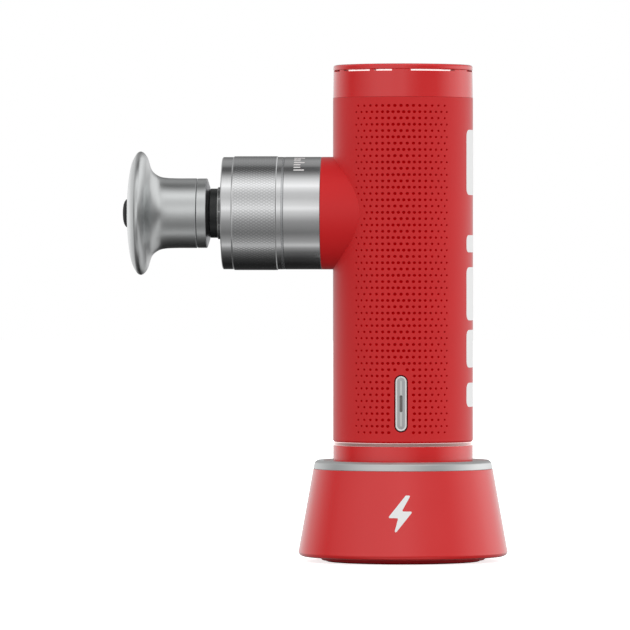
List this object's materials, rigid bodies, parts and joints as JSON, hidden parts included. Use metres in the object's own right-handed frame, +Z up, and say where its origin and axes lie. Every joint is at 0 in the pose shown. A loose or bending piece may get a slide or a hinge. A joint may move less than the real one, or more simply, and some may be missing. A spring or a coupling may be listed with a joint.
{
  "type": "massage gun",
  "caption": "Red handheld percussion massager with a dimpled cylindrical grip, knurled metal nozzle and domed mushroom head, standing in a round weighted charging dock.",
  "frame": {"origin": "on the table under the dock, at the centre of the rubber foot pad, on the axis of the upright body", "axes": "+Z up along the upright body; the nozzle and massage head point along -X; the mode key faces -Y; the dock's charging inlet faces +Y"},
  "size_m": [0.1375, 0.0748, 0.177],
  "materials": {
    "red_grip": "satin soft-touch grip with rows of small dimples",
    "red_satin": "satin moulded plastic",
    "red_dark": "matte moulded plastic",
    "silver_ring": "fine turned and polished",
    "silver_collar": "brushed round the nozzle, knurled grip",
    "silver_key": "satin with a bright rim",
    "head_metal": "bead-blasted satin",
    "black_shaft": "black hard anodised",
    "black_rubber": "matte",
    "dark_plastic": "matte moulded",
    "filter_felt": "light open mesh",
    "light_guide": "smoked translucent",
    "steel": "ground",
    "die_cast": "die cast",
    "lamination": "pressed and blackened",
    "magnet": "sintered, nickel plated",
    "copper": "enamelled copper wire",
    "bronze": "turned sintered bronze",
    "gold_contact": "gold plated",
    "pcb": "solder mask",
    "cell_wrap": "shrink wrap",
    "lead_red": "silicone insulation",
    "lead_yellow": "silicone insulation"
  },
  "bodies": {
    "dock": {"dock_shell": "red_satin", "dock_trim_ring": "silver_ring", "dock_socket": "dark_plastic", "dock_base": "red_dark", "dock_foot_pad": "black_rubber", "dock_ballast": "lamination", "dock_board": "pcb", "usb_inlet": "steel", "dock_screws": "steel"},
    "pogo_pins": {"pogo_pins": "gold_contact"},
    "gun": {"main_housing": "red_grip", "crown_band": "red_satin", "top_cap": "red_satin", "air_filter": "filter_felt", "accent_ring": "silver_ring", "bottom_cap": "red_satin", "bottom_screws": "steel", "charge_contacts": "gold_contact", "key_gasket": "black_rubber", "key_board": "pcb", "tact_switch": "dark_plastic", "main_board": "pcb", "power_transistors": "dark_plastic", "battery_cells": "cell_wrap", "cell_holder_lower": "dark_plastic", "cell_holder_upper": "dark_plastic", "battery_leads": "lead_red", "motor_leads": "lead_yellow", "drive_frame": "die_cast", "damper_rings": "black_rubber", "motor_base": "die_cast", "stator_core": "lamination", "stator_windings": "copper", "shaft_bearings": "steel", "drive_screws": "steel", "guide_housing": "dark_plastic", "guide_bush": "bronze", "shaft_seal": "black_rubber", "barrel": "silver_collar", "detent_washer": "steel", "nose_ring": "silver_collar"},
    "rotor": {"rotor_can": "lamination", "rotor_magnets": "magnet", "motor_shaft": "steel", "cooling_fan": "dark_plastic", "crank_disc": "bronze", "crank_pin": "steel", "crank_bearing": "steel"},
    "plunger": {"yoke": "die_cast", "plunger": "black_shaft", "yoke_cross_pin": "steel"},
    "massage_head": {"head_body": "head_metal", "head_collar": "head_metal", "head_front_plug": "black_rubber", "head_screw": "steel", "head_stem": "dark_plastic", "stem_o_rings": "black_rubber"},
    "speed_ring": {"speed_ring": "silver_collar"},
    "mode_key": {"mode_key": "silver_key", "key_light_guide": "light_guide"}
  },
  "joints": [
    {"name": "gun_lift", "type": "slide", "parent": "dock", "child": "gun", "axis": [0, 0, 1], "range_m": [0, 0.03]},
    {"name": "pogo_press", "type": "slide", "parent": "dock", "child": "pogo_pins", "axis": [0, 0, -1], "range_m": [0, 0.0008], "stiffness_N_per_m": 60, "springref_m": -0.0008},
    {"name": "rotor_spin", "type": "hinge", "parent": "gun", "child": "rotor", "pos_m": [0, 0, 0.1319], "axis": [0, 0, 1], "range_deg": [0, 180]},
    {"name": "plunger_stroke", "type": "slide", "parent": "gun", "child": "plunger", "axis": [-1, 0, 0], "range_m": [0, 0.0101]},
    {"name": "head_pull", "type": "slide", "parent": "plunger", "child": "massage_head", "axis": [-1, 0, 0], "range_m": [0, 0.03]},
    {"name": "speed_ring_turn", "type": "hinge", "parent": "gun", "child": "speed_ring", "pos_m": [-0.0517, 0, 0.1242], "axis": [-1, 0, 0], "range_deg": [0, 120]},
    {"name": "key_press", "type": "slide", "parent": "gun", "child": "mode_key", "axis": [0, 1, 0], "range_m": [0, 0.0006], "stiffness_N_per_m": 150, "springref_m": -0.0008}
  ],
  "couplings": [
    {"joint": "plunger_stroke", "follows": "rotor_spin", "m_per_rad": 0.0031831}
  ]
}
